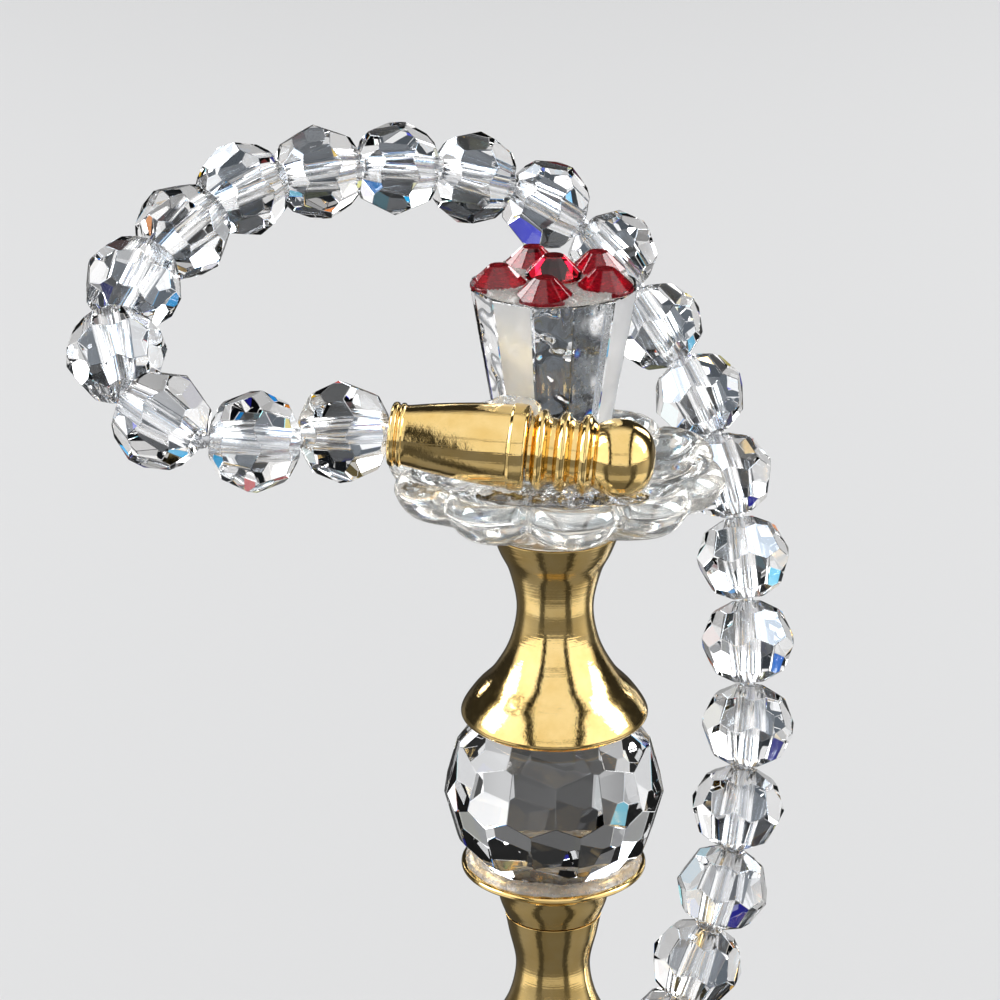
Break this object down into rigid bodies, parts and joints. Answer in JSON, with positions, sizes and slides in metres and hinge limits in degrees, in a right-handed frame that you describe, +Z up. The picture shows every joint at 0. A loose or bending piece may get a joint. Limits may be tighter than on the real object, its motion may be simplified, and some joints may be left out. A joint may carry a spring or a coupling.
{
  "type": "beaded miniature water pipe ornament",
  "caption": "Miniature crystal and gilt water pipe ornament whose hose is a string of faceted beads on a formed wire.",
  "frame": {"origin": "centre of the pad's underside, on the stem's axis", "axes": "+Z up along the stem; the mouthpiece lies across the front, at -Y; the hose's loop is at -X and +Y"},
  "size_m": [0.0299, 0.0256, 0.0611],
  "materials": {
    "gilt": "polished gold plating on turned brass",
    "crystal": "clear, cut and polished lead crystal",
    "ruby_crystal": "deep red, cut and polished, foiled back",
    "steel": "bright drawn wire",
    "felt": "dark felt"
  },
  "bodies": {
    "root": {"foot": "gilt", "foot_pad": "felt", "vase": "crystal", "port_collar": "gilt", "lower_bell": "gilt", "ball_cup": "gilt", "cup_screw": "steel", "crystal_ball": "crystal", "upper_bell": "gilt", "dish": "crystal", "bowl": "crystal", "stone_centre": "ruby_crystal", "stone_left": "ruby_crystal", "stone_back_left": "ruby_crystal", "stone_back_right": "ruby_crystal", "stone_right": "ruby_crystal", "stone_front": "ruby_crystal", "mouthpiece_barrel": "gilt", "mouthpiece_tip": "gilt", "wire_crimp_mouthpiece": "gilt", "hose_port": "gilt", "wire_crimp_port": "gilt", "hose_wire": "steel"},
    "bead_01": {"bead_01": "crystal"},
    "bead_02": {"bead_02": "crystal"},
    "bead_03": {"bead_03": "crystal"},
    "bead_04": {"bead_04": "crystal"},
    "bead_05": {"bead_05": "crystal"},
    "bead_06": {"bead_06": "crystal"},
    "bead_07": {"bead_07": "crystal"},
    "bead_08": {"bead_08": "crystal"},
    "bead_09": {"bead_09": "crystal"},
    "bead_10": {"bead_10": "crystal"},
    "bead_11": {"bead_11": "crystal"},
    "bead_12": {"bead_12": "crystal"},
    "bead_13": {"bead_13": "crystal"},
    "bead_14": {"bead_14": "crystal"},
    "bead_15": {"bead_15": "crystal"},
    "bead_16": {"bead_16": "crystal"},
    "bead_17": {"bead_17": "crystal"},
    "bead_18": {"bead_18": "crystal"},
    "bead_19": {"bead_19": "crystal"},
    "bead_20": {"bead_20": "crystal"},
    "bead_21": {"bead_21": "crystal"},
    "bead_22": {"bead_22": "crystal"}
  },
  "joints": [
    {"name": "bead_spin_01", "type": "hinge", "parent": "root", "child": "bead_01", "pos_m": [-0.0084, -0.00388, 0.05206], "axis": [-0.9869, -0.1583, 0.0306], "continuous": true},
    {"name": "bead_spin_02", "type": "hinge", "parent": "root", "child": "bead_02", "pos_m": [-0.01186, -0.00499, 0.05205], "axis": [-0.9911, -0.1071, 0.0796], "continuous": true},
    {"name": "bead_spin_03", "type": "hinge", "parent": "root", "child": "bead_03", "pos_m": [-0.01552, -0.00435, 0.05273], "axis": [-0.8174, 0.4593, 0.3478], "continuous": true},
    {"name": "bead_spin_04", "type": "hinge", "parent": "root", "child": "bead_04", "pos_m": [-0.0175, -0.00171, 0.05455], "axis": [-0.2178, 0.8225, 0.5254], "continuous": true},
    {"name": "bead_spin_05", "type": "hinge", "parent": "root", "child": "bead_05", "pos_m": [-0.01709, 0.00152, 0.05647], "axis": [0.3073, 0.8373, 0.4521], "continuous": true},
    {"name": "bead_spin_06", "type": "hinge", "parent": "root", "child": "bead_06", "pos_m": [-0.01527, 0.00444, 0.05788], "axis": [0.5519, 0.7686, 0.3233], "continuous": true},
    {"name": "bead_spin_07", "type": "hinge", "parent": "root", "child": "bead_07", "pos_m": [-0.013, 0.0072, 0.05886], "axis": [0.7258, 0.6684, 0.1625], "continuous": true},
    {"name": "bead_spin_08", "type": "hinge", "parent": "root", "child": "bead_08", "pos_m": [-0.00996, 0.00933, 0.05906], "axis": [0.8576, 0.514, -0.015], "continuous": true},
    {"name": "bead_spin_09", "type": "hinge", "parent": "root", "child": "bead_09", "pos_m": [-0.0067, 0.011, 0.05876], "axis": [0.887, 0.4364, -0.1511], "continuous": true},
    {"name": "bead_spin_10", "type": "hinge", "parent": "root", "child": "bead_10", "pos_m": [-0.00345, 0.01252, 0.05794], "axis": [0.87, 0.3748, -0.3204], "continuous": true},
    {"name": "bead_spin_11", "type": "hinge", "parent": "root", "child": "bead_11", "pos_m": [-0.00029, 0.01373, 0.05639], "axis": [0.8326, 0.1855, -0.5218], "continuous": true},
    {"name": "bead_spin_12", "type": "hinge", "parent": "root", "child": "bead_12", "pos_m": [0.00268, 0.01388, 0.05408], "axis": [0.6697, -0.1567, -0.7259], "continuous": true},
    {"name": "bead_spin_13", "type": "hinge", "parent": "root", "child": "bead_13", "pos_m": [0.00466, 0.01265, 0.05117], "axis": [0.5207, -0.4221, -0.7421], "continuous": true},
    {"name": "bead_spin_14", "type": "hinge", "parent": "root", "child": "bead_14", "pos_m": [0.00646, 0.01083, 0.04855], "axis": [0.4015, -0.476, -0.7824], "continuous": true},
    {"name": "bead_spin_15", "type": "hinge", "parent": "root", "child": "bead_15", "pos_m": [0.00762, 0.00916, 0.04548], "axis": [0.2529, -0.4305, -0.8665], "continuous": true},
    {"name": "bead_spin_16", "type": "hinge", "parent": "root", "child": "bead_16", "pos_m": [0.00831, 0.00767, 0.0422], "axis": [0.1195, -0.386, -0.9147], "continuous": true},
    {"name": "bead_spin_17", "type": "hinge", "parent": "root", "child": "bead_17", "pos_m": [0.0085, 0.00634, 0.03882], "axis": [0.0278, -0.3595, -0.9327], "continuous": true},
    {"name": "bead_spin_18", "type": "hinge", "parent": "root", "child": "bead_18", "pos_m": [0.0085, 0.00508, 0.03539], "axis": [-0.0583, -0.2958, -0.9535], "continuous": true},
    {"name": "bead_spin_19", "type": "hinge", "parent": "root", "child": "bead_19", "pos_m": [0.00809, 0.00418, 0.03188], "axis": [-0.1375, -0.22, -0.9658], "continuous": true},
    {"name": "bead_spin_20", "type": "hinge", "parent": "root", "child": "bead_20", "pos_m": [0.00747, 0.00348, 0.02834], "axis": [-0.2411, -0.1491, -0.959], "continuous": true},
    {"name": "bead_spin_21", "type": "hinge", "parent": "root", "child": "bead_21", "pos_m": [0.00637, 0.0031, 0.02488], "axis": [-0.304, -0.0488, -0.9514], "continuous": true},
    {"name": "bead_spin_22", "type": "hinge", "parent": "root", "child": "bead_22", "pos_m": [0.00526, 0.0031, 0.02143], "axis": [-0.3038, 0, -0.9527], "continuous": true}
  ]
}
